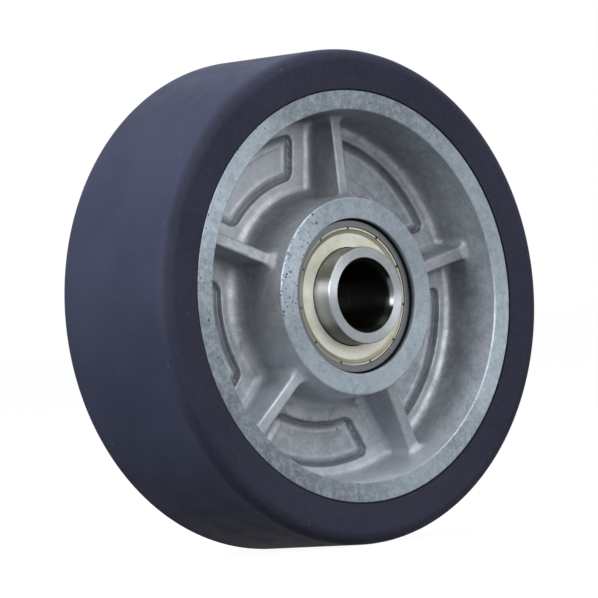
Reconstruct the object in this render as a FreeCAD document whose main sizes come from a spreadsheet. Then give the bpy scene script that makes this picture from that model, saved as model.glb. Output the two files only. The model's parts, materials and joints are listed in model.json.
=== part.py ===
import FreeCAD, Part
import math
import os

import Sketcher
from FreeCAD import Placement, Rotation, Vector

# Castor wheel on two ball bearings. The wheel turns about Y and its front face looks along -Y.
# The origin is the centre of the wheel. All lengths are in millimetres and angles in degrees.

DRIVING_SIZES = (
    # tread
    ("wheel_diameter", 150.0),
    ("tread_width", 50.0),
    ("tread_edge_radius", 4.0),
    ("tread_lip_chamfer", 0.3),
    # core: rim, hub boss and web
    ("core_diameter", 124.7),
    ("core_width", 49.7),
    ("rim_mouth_diameter", 112.8),
    ("boss_diameter", 59.8),
    ("edge_chamfer", 0.3),
    ("wall_draft", 4.5),
    ("web_thickness", 11.0),
    ("boss_fillet", 4.0),
    ("rim_fillet", 2.5),
    ("hub_bore_diameter", 41.0),
    # ribs
    ("rib_count", 5),
    ("rib_phase", 11.0),
    ("rib_top_width", 3.6),
    ("rib_draft", 2.5),
    ("rib_depth_at_boss", 5.5),
    ("rib_depth_at_rim", 10.0),
    ("rib_end_radius", 3.0),
    ("rib_root_radius", 2.0),
    ("trim_overlap", 0.02),
    # moats that surround a pad in each field between two ribs
    ("moat_inner_radius", 37.7),
    ("moat_outer_radius", 50.2),
    ("moat_rib_distance", 9.6),
    ("moat_width", 1.8),
    ("moat_corner_radius", 2.0),
    ("moat_floor_thickness", 5.6),
    ("pad_thickness", 9.0),
    ("land_edge_radius", 0.8),
    ("pad_edge_radius", 1.6),
    # ball bearings
    ("bearing_bore", 20.0),
    ("bearing_diameter", 47.0),
    ("bearing_width", 14.0),
    ("bearing_recess", 1.85),
    ("ring_edge_radius", 0.8),
    ("outer_shoulder_diameter", 38.4),
    ("ball_diameter", 7.938),
    ("pitch_diameter", 33.5),
    ("ball_count", 8),
    ("ball_clearance", 0.05),
    ("race_radius", 4.12),
    # lengthened inner rings and the tube between them
    ("hub_length", 58.0),
    ("collar_diameter", 29.4),
    ("collar_edge_radius", 0.4),
    ("bore_mouth_radius", 1.0),
    ("bore_chamfer", 1.0),
    ("spacer_diameter", 26.0),
    ("spacer_bore", 20.6),
    ("spacer_chamfer", 0.5),
    # shields
    ("shield_sheet", 0.4),
    ("shield_inner_diameter", 30.2),
    ("shield_flat_diameter", 38.1),
    ("shield_flat_depth", 0.9),
    ("shield_bead_diameter", 40.5),
    ("shield_bead_depth", 0.4),
    ("shield_seat_depth", 0.9),
    ("shield_seat_width", 0.8),
    ("shield_seat_diameter", 43.2),
    ("ring_mouth_diameter", 42.0),
    ("shield_clearance", 0.05),
    ("notch_count", 11),
    ("notch_width", 0.36),
    ("notch_phase", 22.1),
    # cages
    ("cage_sheet", 0.75),
    ("cage_inner_diameter", 30.6),
    ("cage_outer_diameter", 36.6),
    ("pocket_clearance", 0.12),
    ("rivet_diameter", 1.2),
    ("rivet_head_diameter", 2.2),
    ("rivet_head_height", 0.4),
    ("rivet_clearance", 0.03),
)

# Places that several pieces share, as expressions of the sheet.
FACE = "Sizes.core_width / 2"
BEARING_CENTRE = "(Sizes.core_width / 2 - Sizes.bearing_recess - Sizes.bearing_width / 2)"
LAND = "Sizes.web_thickness / 2"
BOSS_RADIUS = "Sizes.boss_diameter / 2"
MOUTH_RADIUS = "Sizes.rim_mouth_diameter / 2"
DRAFT = "tan(Sizes.wall_draft * 1 deg)"
BALL_RADIUS = "Sizes.ball_diameter / 2"
PITCH_RADIUS = "Sizes.pitch_diameter / 2"

doc = FreeCAD.newDocument("castor_wheel")
sheet = doc.addObject("Spreadsheet::Sheet", "Sizes")
for row, (alias, number) in enumerate(DRIVING_SIZES, start=1):
    sheet.set("A%d" % row, alias)
    sheet.set("B%d" % row, str(number))
    sheet.setAlias("B%d" % row, alias)
doc.recompute()


def size(alias):
    """The number that the sheet holds under an alias."""
    return float(sheet.get(alias))


def boss_wall(depth):
    """Radius of the drafted boss wall at a distance from the core's face."""
    return "(%s + (%s) * %s)" % (BOSS_RADIUS, depth, DRAFT)


def rim_wall(depth):
    """Radius of the drafted inner wall of the rim at a distance from the core's face."""
    return "(%s - (%s) * %s)" % (MOUTH_RADIUS, depth, DRAFT)


# Sketch and feature helpers

def new_body(name):
    body = doc.addObject("PartDesign::Body", name)
    body.Label = name
    return body


def origin_feature(body, role):
    for feature in body.Origin.OriginFeatures:
        if feature.Role == role:
            return feature
    raise ValueError(role)


def new_sketch(body, name, plane="XY_Plane"):
    sketch = body.newObject("Sketcher::SketchObject", name)
    sketch.AttachmentSupport = [(origin_feature(body, plane), "")]
    sketch.MapMode = "FlatFace"
    return sketch


def bind(sketch, kind, references, expression, rough=1.0):
    """Adds a constraint whose value follows the sheet, from a rough first value."""
    index = sketch.addConstraint(Sketcher.Constraint(kind, *references, rough))
    sketch.setExpression("Constraints[%d]" % index, expression)


def add_outline(sketch, corners):
    """Closed straight-sided outline. Each corner is a pair of expressions in the sketch's axes."""
    first = sketch.GeometryCount
    count = len(corners)
    spots = [
        Vector(10 * math.cos(2 * math.pi * k / count) + 12, 10 * math.sin(2 * math.pi * k / count), 0)
        for k in range(count)
    ]
    for number in range(count):
        sketch.addGeometry(Part.LineSegment(spots[number], spots[(number + 1) % count]), False)
    for number in range(count):
        following = first + (number + 1) % count
        sketch.addConstraint(Sketcher.Constraint("Coincident", first + number, 2, following, 1))
    for number, (across, along) in enumerate(corners):
        bind(sketch, "DistanceX", (-1, 1, first + number, 1), across)
        bind(sketch, "DistanceY", (-1, 1, first + number, 1), along)


def add_circle(sketch, across, along, radius):
    index = sketch.addGeometry(Part.Circle(Vector(15, 0, 0), Vector(0, 0, 1), 4), False)
    bind(sketch, "DistanceX", (-1, 1, index, 3), across)
    bind(sketch, "DistanceY", (-1, 1, index, 3), along)
    bind(sketch, "Radius", (index,), radius)


def revolve(body, sketch, name, kind="PartDesign::Revolution"):
    """Full turn about the sketch's vertical axis."""
    feature = body.newObject(kind, name)
    feature.Profile = sketch
    feature.ReferenceAxis = (sketch, ["V_Axis"])
    feature.Angle = 360.0
    sketch.Visibility = False
    body.Tip = feature
    return feature


def extrude(body, sketch, name, length, kind="PartDesign::Pad", reverse=False, both_ways=False):
    feature = body.newObject(kind, name)
    feature.Profile = sketch
    feature.Reversed = reverse
    feature.Midplane = both_ways
    feature.setExpression("Length", length)
    sketch.Visibility = False
    body.Tip = feature
    return feature


def pattern(body, originals, name, count):
    """Copies features round the wheel's axis."""
    feature = body.newObject("PartDesign::PolarPattern", name)
    feature.Originals = originals
    feature.Axis = (origin_feature(body, "Y_Axis"), [""])
    feature.Angle = 360.0
    feature.setExpression("Occurrences", count)
    body.Tip = feature
    return feature


def dress(body, name, chosen, expression, kind="PartDesign::Fillet"):
    """Fillet or chamfer on the edges of the body's tip that the test picks."""
    doc.recompute()
    base = body.Tip
    shape = base.Shape
    names = [
        "Edge%d" % number
        for number, edge in enumerate(shape.Edges, start=1)
        if chosen(edge, shape)
    ]
    if not names:
        raise ValueError("no edge for " + name)
    feature = body.newObject(kind, name)
    feature.Base = (base, names)
    feature.setExpression("Size" if kind.endswith("Chamfer") else "Radius", expression)
    body.Tip = feature
    doc.recompute()
    return feature


def circle_at(radius, height, tolerance=0.01):
    """Test for a full circle round the wheel's axis."""
    def chosen(edge, shape):
        curve = edge.Curve
        if not isinstance(curve, Part.Circle) or not edge.isClosed():
            return False
        on_axis = math.hypot(curve.Center.x, curve.Center.z) < tolerance
        return on_axis and abs(curve.Radius - radius) < tolerance and abs(curve.Center.y - height) < tolerance
    return chosen


def any_of(*tests):
    return lambda edge, shape: any(test(edge, shape) for test in tests)


# Tread

def make_tread():
    body = new_body("tread")
    sketch = new_sketch(body, "tread_section")
    inner = "Sizes.core_diameter / 2"
    outer = "Sizes.wheel_diameter / 2"
    side = "Sizes.tread_width / 2"
    lip = "Sizes.tread_lip_chamfer"
    add_outline(sketch, [
        (inner, "-(%s - %s)" % (side, lip)),
        ("%s + %s" % (inner, lip), "-" + side),
        (outer, "-" + side),
        (outer, side),
        ("%s + %s" % (inner, lip), side),
        (inner, "%s - %s" % (side, lip)),
    ])
    revolve(body, sketch, "tread_ring")
    radius = size("wheel_diameter") / 2
    half = size("tread_width") / 2
    dress(body, "tread_edges", any_of(circle_at(radius, half), circle_at(radius, -half)),
          "Sizes.tread_edge_radius")
    return body


# Core

def core_section(body):
    """Turned section of the casting: bearing seats, boss, web and rim."""
    sketch = new_sketch(body, "core_section")
    edge = "Sizes.edge_chamfer"
    shoulder = "(%s - Sizes.bearing_width / 2)" % BEARING_CENTRE
    seat = "Sizes.bearing_diameter / 2"
    rim = "Sizes.core_diameter / 2"
    depth = "%s - %s" % (FACE, LAND)
    half = [
        ("Sizes.hub_bore_diameter / 2", shoulder),
        (seat, shoulder),
        (seat, "%s - %s" % (FACE, edge)),
        ("%s + %s" % (seat, edge), FACE),
        ("%s - %s" % (BOSS_RADIUS, edge), FACE),
        (boss_wall(edge), "%s - %s" % (FACE, edge)),
        (boss_wall(depth), LAND),
        (rim_wall(depth), LAND),
        (rim_wall(edge), "%s - %s" % (FACE, edge)),
        ("%s + %s" % (MOUTH_RADIUS, edge), FACE),
        ("%s - %s" % (rim, edge), FACE),
        (rim, "%s - %s" % (FACE, edge)),
    ]
    other_half = [(across, "-(%s)" % along) for across, along in reversed(half)]
    add_outline(sketch, half + other_half)
    return revolve(body, sketch, "core_turning")


def rib_height():
    """Height of the untrimmed ribs above the middle plane, just under the machined faces."""
    return "(%s - 2 * Sizes.edge_chamfer)" % FACE


def add_ribs(body):
    """Drafted ribs on both sides of the web, from the boss to the rim."""
    sketch = new_sketch(body, "rib_section", "YZ_Plane")
    start = "(%s + Sizes.bearing_diameter / 2) / 2" % BOSS_RADIUS
    end = "(%s + Sizes.core_diameter / 2) / 2" % MOUTH_RADIUS
    sketch.setExpression("AttachmentOffset.Base.z", start)
    top = "(Sizes.rib_top_width / 2)"
    trim = "(%s - Sizes.rib_depth_at_boss)" % FACE
    tip = "(%s - (%s - %s) * tan(Sizes.rib_draft * 1 deg))" % (top, rib_height(), trim)
    root = "(%s + %s * tan(Sizes.rib_draft * 1 deg))" % (top, trim)
    add_outline(sketch, [
        (rib_height(), tip),
        ("0", root),
        ("-" + rib_height(), tip),
        ("-" + rib_height(), "-" + tip),
        ("0", "-" + root),
        (rib_height(), "-" + tip),
    ])
    rib = extrude(body, sketch, "rib", "%s - %s" % (end, start))
    return pattern(body, [rib], "ribs", "Sizes.rib_count")


def on_rib_side(edge, shape):
    """True where an edge borders a side face of a rib and isn't on the rib's top."""
    if max(abs(vertex.Y) for vertex in edge.Vertexes) < size("web_thickness") / 2 - 0.01:
        return False
    top = size("core_width") / 2 - 2 * size("edge_chamfer")
    if all(abs(abs(vertex.Y) - top) < 0.01 for vertex in edge.Vertexes):
        return False
    limit = math.sin(math.radians(size("rib_draft"))) + 0.01
    for face in shape.ancestorsOfType(edge, Part.Face):
        if isinstance(face.Surface, Part.Plane) and abs(face.Surface.Axis.y) < limit:
            return True
    return False


def add_field_outline(body, name, inner, outer, distance):
    """Field between two ribs: two arcs round the axle and two sides parallel to the ribs.
    The three sizes are expressions; the sketch's x axis is the middle of the field."""
    sketch = new_sketch(body, name, "XZ_Plane")
    sketch.setExpression("AttachmentOffset.Rotation.Angle", "180 / Sizes.rib_count")
    half_turn = math.pi / size("rib_count")
    rough_in = size("moat_inner_radius")
    rough_out = size("moat_outer_radius")
    rough_away = size("moat_rib_distance")
    turn_in = half_turn - math.asin(rough_away / rough_in)
    turn_out = half_turn - math.asin(rough_away / rough_out)

    def polar(radius, angle):
        return Vector(radius * math.cos(angle), radius * math.sin(angle), 0)

    axis = Vector(0, 0, 1)
    sketch.addGeometry(Part.ArcOfCircle(Part.Circle(Vector(), axis, rough_in), -turn_in, turn_in), False)
    sketch.addGeometry(Part.ArcOfCircle(Part.Circle(Vector(), axis, rough_out), -turn_out, turn_out), False)
    for side in (1, -1):
        low = polar(rough_in, side * turn_in)
        high = polar(rough_out, side * turn_out)
        sketch.addGeometry(Part.LineSegment(low, high), False)
    for arc in (0, 1):
        sketch.addConstraint(Sketcher.Constraint("Coincident", arc, 3, -1, 1))
        sketch.addConstraint(Sketcher.Constraint("Coincident", arc, 2, 2, arc + 1))
        sketch.addConstraint(Sketcher.Constraint("Coincident", arc, 1, 3, arc + 1))
    bind(sketch, "Radius", (0,), inner, rough_in)
    bind(sketch, "Radius", (1,), outer, rough_out)
    for line, turn in ((2, "180 / Sizes.rib_count"), (3, "-180 / Sizes.rib_count")):
        bind(sketch, "Distance", (-1, 1, line), distance, rough_away)
        bind(sketch, "Angle", (line,), turn + " * 1 deg", math.copysign(half_turn, 2.5 - line))
    return sketch


def cut_moats(body):
    """Sinks each field to the moat's floor on both sides, then sets a pad in its middle."""
    half = "Sizes.moat_width / 2"
    outer_sizes = (
        "Sizes.moat_inner_radius - " + half,
        "Sizes.moat_outer_radius + " + half,
        "Sizes.moat_rib_distance - " + half,
    )
    inner_sizes = (
        "Sizes.moat_inner_radius + " + half,
        "Sizes.moat_outer_radius - " + half,
        "Sizes.moat_rib_distance + " + half,
    )
    sinks = []
    for side, sign in (("front", 1), ("rear", -1)):
        sketch = add_field_outline(body, side + "_moat_outline", *outer_sizes)
        sketch.setExpression("AttachmentOffset.Base.z", "%d * Sizes.moat_floor_thickness / 2" % sign)
        depth = "Sizes.web_thickness"
        sinks.append(extrude(body, sketch, side + "_moat", depth, "PartDesign::Pocket", sign > 0))
    pattern(body, sinks, "moats", "Sizes.rib_count")
    sketch = add_field_outline(body, "pad_outline", *inner_sizes)
    pad = extrude(body, sketch, "field_pad", "Sizes.pad_thickness", both_ways=True)
    pattern(body, [pad], "field_pads", "Sizes.rib_count")


def upright_corner(edge, shape):
    """True for the straight edges along the axle at the corners of the moats and pads."""
    if not isinstance(edge.Curve, Part.Line) or abs(abs(edge.Curve.Direction.y) - 1) > 0.001:
        return False
    spot = edge.Vertexes[0]
    radius = math.hypot(spot.X, spot.Z)
    low = size("moat_inner_radius") - size("moat_width")
    high = size("moat_outer_radius") + size("moat_width")
    return low < radius < high and abs(spot.Y) < size("web_thickness")


def moat_edge(thickness):
    """Chooses the edges of the moats at the height of the web's land or of the pads."""
    def chooser(edge, shape):
        heights = [abs(vertex.Y) for vertex in edge.Vertexes]
        radii = [math.hypot(vertex.X, vertex.Z) for vertex in edge.Vertexes]
        if any(abs(height - size(thickness) / 2) > 0.01 for height in heights):
            return False
        reach = size("moat_width") / 2 + 0.05
        return (min(radii) > size("moat_inner_radius") - reach
                and max(radii) < size("moat_outer_radius") + reach)
    return chooser


def rib_trimmer():
    """Ring of turning that lowers the ribs below the machined faces, with rounded ends."""
    body = new_body("rib_trimmer")
    edge = "Sizes.edge_chamfer"
    sketch = new_sketch(body, "trimmer_section")
    ceiling = "%s - %s" % (FACE, edge)
    at_boss = "Sizes.rib_depth_at_boss"
    at_rim = "Sizes.rib_depth_at_rim"
    add_outline(sketch, [
        (boss_wall(edge) + " - Sizes.trim_overlap", ceiling),
        (boss_wall(at_boss) + " - Sizes.trim_overlap", "%s - %s" % (FACE, at_boss)),
        (rim_wall(at_rim) + " + Sizes.trim_overlap", "%s - %s" % (FACE, at_rim)),
        (rim_wall(edge) + " + Sizes.trim_overlap", ceiling),
    ])
    revolve(body, sketch, "trimmer_turning")
    face = size("core_width") / 2
    slope = math.tan(math.radians(size("wall_draft")))
    over = size("trim_overlap")
    boss_end = size("boss_diameter") / 2 + size("rib_depth_at_boss") * slope - over
    rim_end = size("rim_mouth_diameter") / 2 - size("rib_depth_at_rim") * slope + over
    ends = any_of(circle_at(boss_end, face - size("rib_depth_at_boss")),
                  circle_at(rim_end, face - size("rib_depth_at_rim")))
    dress(body, "trimmer_ends", ends, "Sizes.rib_end_radius")
    return body


def make_core():
    """The casting, with the rib tops trimmed on both sides."""
    casting = new_body("casting")
    core_section(casting)
    face = size("core_width") / 2
    land = size("web_thickness") / 2
    run = (face - land) * math.tan(math.radians(size("wall_draft")))
    boss_root = size("boss_diameter") / 2 + run
    rim_root = size("rim_mouth_diameter") / 2 - run
    dress(casting, "boss_roots", any_of(circle_at(boss_root, land), circle_at(boss_root, -land)),
          "Sizes.boss_fillet")
    dress(casting, "rim_roots", any_of(circle_at(rim_root, land), circle_at(rim_root, -land)),
          "Sizes.rim_fillet")
    add_ribs(casting)
    dress(casting, "rib_roots", on_rib_side, "Sizes.rib_root_radius")
    cut_moats(casting)
    dress(casting, "moat_corners", upright_corner, "Sizes.moat_corner_radius")
    dress(casting, "land_edges", moat_edge("web_thickness"), "Sizes.land_edge_radius")
    dress(casting, "pad_edges", moat_edge("pad_thickness"), "Sizes.pad_edge_radius")
    trimmer = rib_trimmer()
    mirrored = doc.addObject("Part::Mirroring", "rear_trimmer")
    mirrored.Source = trimmer
    mirrored.Normal = Vector(0, 1, 0)
    front_cut = doc.addObject("Part::Cut", "trimmed_one_side")
    front_cut.Base = casting
    front_cut.Tool = trimmer
    core = doc.addObject("Part::Cut", "core")
    core.Label = "core"
    core.Base = front_cut
    core.Tool = mirrored
    core.Placement = Placement(Vector(), Rotation(Vector(0, -1, 0), size("rib_phase")))
    return core


# Bearings. Each piece is made round the bearing's own centre, with +Y pointing out of the wheel.

def seat_piece(piece, side, place="outer", turn=0.0):
    """Places a bearing piece on its side of the wheel, facing out or, as an inner piece, in."""
    faces_front = (side == "front") == (place == "outer")
    flip = Rotation(Vector(1, 0, 0), 180 if faces_front else 0)
    phase = Rotation(Vector(0, -1, 0), turn)
    piece.Placement = Placement(Vector(), phase.multiply(flip))
    sign = "-" if side == "front" else ""
    piece.setExpression("Placement.Base.y", sign + BEARING_CENTRE)
    return piece


def cut_race(body, name, centre_radius):
    sketch = new_sketch(body, name + "_circle")
    add_circle(sketch, centre_radius, "0", "Sizes.race_radius")
    revolve(body, sketch, name, "PartDesign::Groove")


def make_outer_ring(side):
    body = new_body(side + "_outer_ring")
    sketch = new_sketch(body, "section")
    half = "Sizes.bearing_width / 2"
    outer = "Sizes.bearing_diameter / 2"
    mouth = "Sizes.ring_mouth_diameter / 2"
    seat = "Sizes.shield_seat_diameter / 2"
    shoulder = "Sizes.outer_shoulder_diameter / 2"
    lip = "%s - Sizes.shield_seat_depth" % half
    floor = "%s - Sizes.shield_seat_width" % lip
    upper = [(outer, half), (mouth, half), (mouth, lip), (seat, lip), (seat, floor), (shoulder, floor)]
    lower = [(across, "-(%s)" % along) for across, along in reversed(upper)]
    add_outline(sketch, upper + lower)
    revolve(body, sketch, "turning")
    cut_race(body, "race", "%s + %s + Sizes.ball_clearance - Sizes.race_radius" % (PITCH_RADIUS, BALL_RADIUS))
    radius = size("bearing_diameter") / 2
    level = size("bearing_width") / 2
    dress(body, "ring_edges", any_of(circle_at(radius, level), circle_at(radius, -level)),
          "Sizes.ring_edge_radius")
    return seat_piece(body, side)


def make_inner_ring(side):
    """Inner ring whose outer end is lengthened into the collar that the fork clamps."""
    body = new_body(side + "_inner_ring")
    sketch = new_sketch(body, "section")
    bore = "Sizes.bearing_bore / 2"
    shoulder = "Sizes.collar_diameter / 2"
    inner_end = "-Sizes.bearing_width / 2"
    outer_end = "Sizes.hub_length / 2 - %s" % BEARING_CENTRE
    add_outline(sketch, [(bore, inner_end), (shoulder, inner_end), (shoulder, outer_end), (bore, outer_end)])
    revolve(body, sketch, "turning")
    cut_race(body, "race", "%s - %s - Sizes.ball_clearance + Sizes.race_radius" % (PITCH_RADIUS, BALL_RADIUS))
    bore_radius = size("bearing_bore") / 2
    collar_radius = size("collar_diameter") / 2
    low = -size("bearing_width") / 2
    centre = size("core_width") / 2 - size("bearing_recess") + low
    high = size("hub_length") / 2 - centre
    dress(body, "bore_mouth", circle_at(bore_radius, high), "Sizes.bore_mouth_radius")
    dress(body, "collar_edge", circle_at(collar_radius, high), "Sizes.collar_edge_radius")
    dress(body, "bore_inner_edge", circle_at(bore_radius, low), "Sizes.bore_chamfer", "PartDesign::Chamfer")
    return seat_piece(body, side)


def make_spacer():
    body = new_body("spacer_tube")
    sketch = new_sketch(body, "section")
    bore = "Sizes.spacer_bore / 2"
    outer = "Sizes.spacer_diameter / 2"
    end = "%s - Sizes.bearing_width / 2" % BEARING_CENTRE
    add_outline(sketch, [(bore, "-(%s)" % end), (outer, "-(%s)" % end), (outer, end), (bore, end)])
    revolve(body, sketch, "turning")
    radius = size("spacer_diameter") / 2
    level = size("core_width") / 2 - size("bearing_recess") - size("bearing_width")
    dress(body, "spacer_edges", any_of(circle_at(radius, level), circle_at(radius, -level)),
          "Sizes.spacer_chamfer", "PartDesign::Chamfer")
    return body


def make_shield(side, place):
    """Pressed shield: flat, step and rolled bead that sits in the outer ring's groove."""
    body = new_body("%s_%s_shield" % (side, place))
    sketch = new_sketch(body, "section")
    gap = "Sizes.shield_clearance"
    sheet_thickness = "Sizes.shield_sheet"
    half = "Sizes.bearing_width / 2"
    flat = "(%s - Sizes.shield_flat_depth)" % half
    crown = "(%s - Sizes.shield_bead_depth)" % half
    lip = "(%s - Sizes.shield_seat_depth - %s)" % (half, gap)
    floor = "(%s - Sizes.shield_seat_depth - Sizes.shield_seat_width + %s)" % (half, gap)
    inner = "Sizes.shield_inner_diameter / 2"
    step = "Sizes.shield_flat_diameter / 2"
    bead = "Sizes.shield_bead_diameter / 2"
    mouth = "(Sizes.ring_mouth_diameter / 2 - %s)" % gap
    edge = "(Sizes.shield_seat_diameter / 2 - %s)" % gap
    add_outline(sketch, [
        (inner, "%s - %s" % (flat, sheet_thickness)),
        (step, "%s - %s" % (flat, sheet_thickness)),
        (bead, floor),
        (edge, floor),
        (edge, lip),
        (mouth, lip),
        (mouth, crown),
        (bead, crown),
        (step, flat),
        (inner, flat),
    ])
    revolve(body, sketch, "pressing")
    notch = new_sketch(body, "notch_outline", "XZ_Plane")
    add_outline(notch, [
        (bead, "-Sizes.notch_width / 2"),
        ("%s + 1" % mouth, "-Sizes.notch_width / 2"),
        ("%s + 1" % mouth, "Sizes.notch_width / 2"),
        (bead, "Sizes.notch_width / 2"),
    ])
    notch.setExpression("AttachmentOffset.Base.z", "-(%s - Sizes.shield_sheet)" % crown)
    cut = extrude(body, notch, "notch", sheet_thickness, "PartDesign::Pocket")
    pattern(body, [cut], "notches", "Sizes.notch_count")
    return seat_piece(body, side, place, size("notch_phase"))


def ball_spot(number):
    """Expressions for the centre of one ball across and up, from the bearing's centre."""
    angle = "(%d * 360 / Sizes.ball_count * 1 deg)" % number
    return "%s * cos%s" % (PITCH_RADIUS, angle), "%s * sin%s" % (PITCH_RADIUS, angle)


def make_ball(side, number):
    ball = doc.addObject("Part::Sphere", "%s_ball_%d" % (side, number + 1))
    ball.Label = ball.Name
    ball.setExpression("Radius", BALL_RADIUS)
    across, upward = ball_spot(number)
    ball.setExpression("Placement.Base.x", across)
    ball.setExpression("Placement.Base.y", ("-" if side == "front" else "") + BEARING_CENTRE)
    ball.setExpression("Placement.Base.z", upward)
    return ball


def add_sphere(body, name, kind, radius):
    """Sphere on the first ball's place, copied to every ball."""
    sphere = body.newObject(kind, name)
    sphere.AttachmentSupport = [(origin_feature(body, "XY_Plane"), "")]
    sphere.MapMode = "FlatFace"
    sphere.setExpression("AttachmentOffset.Base.x", PITCH_RADIUS)
    sphere.setExpression("Radius", radius)
    body.Tip = sphere
    pattern(body, [sphere], name + "s", "Sizes.ball_count")


def between_balls(sketch):
    """Moves a sketch's axis to the middle between the first two balls."""
    half_pitch = "(180 / Sizes.ball_count * 1 deg)"
    sketch.setExpression("AttachmentOffset.Base.x", "%s * cos%s" % (PITCH_RADIUS, half_pitch))
    sketch.setExpression("AttachmentOffset.Base.z", "%s * sin%s" % (PITCH_RADIUS, half_pitch))


def make_cage_half(side, place):
    """Pressed half of a ribbon cage: a flat band with a cup over each ball."""
    body = new_body("%s_cage_%s_half" % (side, place))
    inner = "Sizes.cage_inner_diameter / 2"
    outer = "Sizes.cage_outer_diameter / 2"
    sketch = new_sketch(body, "band_section")
    sheet_top = "Sizes.cage_sheet"
    add_outline(sketch, [(inner, "0"), (outer, "0"), (outer, sheet_top), (inner, sheet_top)])
    revolve(body, sketch, "band")
    pocket = "%s + Sizes.pocket_clearance" % BALL_RADIUS
    add_sphere(body, "cup", "PartDesign::AdditiveSphere", pocket + " + Sizes.cage_sheet")
    add_sphere(body, "pocket", "PartDesign::SubtractiveSphere", pocket)
    reach = "Sizes.ball_diameter"
    below = "-" + reach
    beyond = "%s + %s" % (outer, reach)
    trim = new_sketch(body, "trim_section")
    add_outline(trim, [("0", below), (inner, below), (inner, reach), ("0", reach)])
    add_outline(trim, [(outer, below), (beyond, below), (beyond, reach), (outer, reach)])
    revolve(body, trim, "band_trim", "PartDesign::Groove")
    back = new_sketch(body, "back_section")
    add_outline(back, [("1", below), (beyond, below), (beyond, "0"), ("1", "0")])
    revolve(body, back, "back_trim", "PartDesign::Groove")
    hole = new_sketch(body, "rivet_hole_section")
    between_balls(hole)
    wall = "Sizes.rivet_diameter / 2 + Sizes.rivet_clearance"
    above = "Sizes.cage_sheet + 1"
    add_outline(hole, [("0", "-1"), (wall, "-1"), (wall, above), ("0", above)])
    holes = revolve(body, hole, "rivet_hole", "PartDesign::Groove")
    pattern(body, [holes], "rivet_holes", "Sizes.ball_count")
    return seat_piece(body, side, place)


def make_rivets(side):
    """The rivets that close one cage, a shank and two heads each."""
    body = new_body(side + "_cage_rivets")
    body.AllowCompound = True
    sketch = new_sketch(body, "rivet_section")
    between_balls(sketch)
    shank = "Sizes.rivet_diameter / 2"
    head = "Sizes.rivet_head_diameter / 2"
    under = "Sizes.cage_sheet"
    top = "(Sizes.cage_sheet + Sizes.rivet_head_height)"
    add_outline(sketch, [
        ("0", "-" + top), (head, "-" + top), (head, "-" + under), (shank, "-" + under),
        (shank, under), (head, under), (head, top), ("0", top),
    ])
    rivet = revolve(body, sketch, "rivet")
    pattern(body, [rivet], "rivets", "Sizes.ball_count")
    return seat_piece(body, side)


def make_bearing(side):
    pieces = [make_outer_ring(side), make_inner_ring(side)]
    for place in ("outer", "inner"):
        pieces.append(make_shield(side, place))
        pieces.append(make_cage_half(side, place))
    pieces.append(make_rivets(side))
    for number in range(int(size("ball_count"))):
        pieces.append(make_ball(side, number))
    return pieces


def check_document():
    for item in doc.Objects:
        faults = [state for state in item.State if state in ("Invalid", "Error")]
        if faults:
            raise RuntimeError("%s is %s" % (item.Label, ", ".join(faults)))


def write_pieces(pieces):
    os.makedirs("parts", exist_ok=True)
    for piece in pieces:
        shape = piece.Shape
        if shape.isNull() or not shape.isValid():
            raise RuntimeError("%s has no valid shape" % piece.Label)
        shape.exportStep("parts/%s.step" % piece.Label)
        print("%-24s solids %d, faces %4d, volume %10.1f"
              % (piece.Label, len(shape.Solids), len(shape.Faces), shape.Volume))


wheel_pieces = [make_tread(), make_core(), make_spacer()]
for wheel_side in ("front", "rear"):
    wheel_pieces += make_bearing(wheel_side)
doc.recompute()
check_document()
write_pieces(wheel_pieces)
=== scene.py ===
import json
import math

import bpy
import numpy as np
from mathutils import Matrix, Vector


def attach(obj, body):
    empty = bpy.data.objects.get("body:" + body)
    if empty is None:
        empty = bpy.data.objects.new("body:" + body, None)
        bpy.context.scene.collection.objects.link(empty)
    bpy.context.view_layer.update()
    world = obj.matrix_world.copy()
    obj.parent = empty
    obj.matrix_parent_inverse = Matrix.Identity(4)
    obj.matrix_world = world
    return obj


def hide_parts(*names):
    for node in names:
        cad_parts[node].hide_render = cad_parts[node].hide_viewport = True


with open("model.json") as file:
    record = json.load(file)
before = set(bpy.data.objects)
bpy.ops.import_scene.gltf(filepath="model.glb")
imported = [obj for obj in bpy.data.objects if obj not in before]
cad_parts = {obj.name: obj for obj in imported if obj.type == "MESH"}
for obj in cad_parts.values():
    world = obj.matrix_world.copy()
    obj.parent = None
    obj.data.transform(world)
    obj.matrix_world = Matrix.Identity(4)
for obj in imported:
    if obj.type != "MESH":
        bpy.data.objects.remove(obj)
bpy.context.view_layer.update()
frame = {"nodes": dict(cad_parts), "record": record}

MM = 0.001

# Sizes in millimetres. Depths and heights are along the axle. They are those of the solids, except
# that the moats are less deep, with softer edges and a low lip round their pads, and that one moat
# on each side runs out beside the boss, as on the real casting.
TREAD_RADIUS, TREAD_HALF, TREAD_CORNER, TREAD_EDGE = 75.0, 25.0, 4.0, 0.25
CORE_RADIUS, FACE = 62.35, 24.85
MOUTH_RADIUS, BOSS_RADIUS = 56.4, 29.9
DRAFT = math.tan(math.radians(4.5))
BOSS_FILLET, RIM_FILLET, RIB_FILLET, RIB_ROUND = 4.0, 2.6, 2.8, 0.6
RIB_PHASE, RIB_COUNT = 11.0, 5
RIB_HALF_WIDTH, RIB_DRAFT = 1.8, math.tan(math.radians(2.5))
RIB_TOP_BOSS, RIB_TOP_RIM, RIB_START, RIB_LENGTH = 19.35, 14.85, 30.3, 25.3
LAND, PAD, MOAT = 5.5, 4.5, 3.6
MOAT_INNER, MOAT_OUTER, MOAT_SIDE, MOAT_CORNER = 37.7, 50.2, 9.6, 2.0
LAND_RUN, LAND_POWER, PAD_RUN, PAD_POWER = 1.0, 2.4, 2.3, 2.3
LIP_PLACE, LIP_WIDTH, LIP_HEIGHT = 2.4, 0.7, 0.15
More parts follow.
